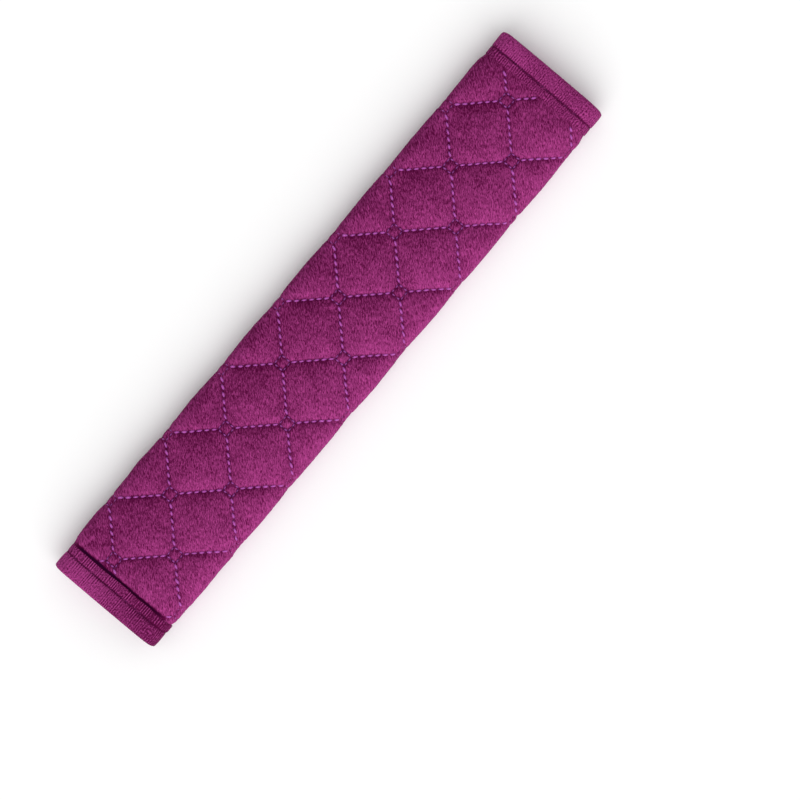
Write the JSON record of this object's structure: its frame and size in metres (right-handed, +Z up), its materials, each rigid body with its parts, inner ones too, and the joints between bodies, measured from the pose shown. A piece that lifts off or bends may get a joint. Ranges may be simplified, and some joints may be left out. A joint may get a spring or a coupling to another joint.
{
  "type": "seat belt shoulder pad",
  "caption": "Quilted plush sleeve that closes round a seat belt with a hook and loop flap and cushions the shoulder.",
  "frame": {"origin": "middle of the bottom of the pad, lying on its back", "axes": "+X across the pad, +Y along it, +Z up from its back to its quilted front"},
  "size_m": [0.0644, 0.342, 0.0213],
  "materials": {
    "plush": "short cut pile, brushed",
    "wadding": "needled polyester fibre",
    "lining": "matt knitted tricot",
    "binding": "ribbed knitted tape, brushed",
    "thread": "twisted polyester with a soft gleam",
    "tape": "woven nylon with hooks or loops"
  },
  "bodies": {
    "root": {"plush_cover": "plush", "wadding": "wadding", "lining": "lining", "binding_top": "binding", "binding_bottom": "binding", "hook_tape": "tape", "loop_tape": "tape", "binding_seam_top": "thread", "binding_seam_bottom": "thread", "quilting_thread_1": "thread", "quilting_thread_2": "thread", "quilting_thread_3": "thread", "quilting_thread_4": "thread", "quilting_thread_5": "thread", "tape_seam_1": "thread", "tape_seam_2": "thread"}
  },
  "joints": []
}
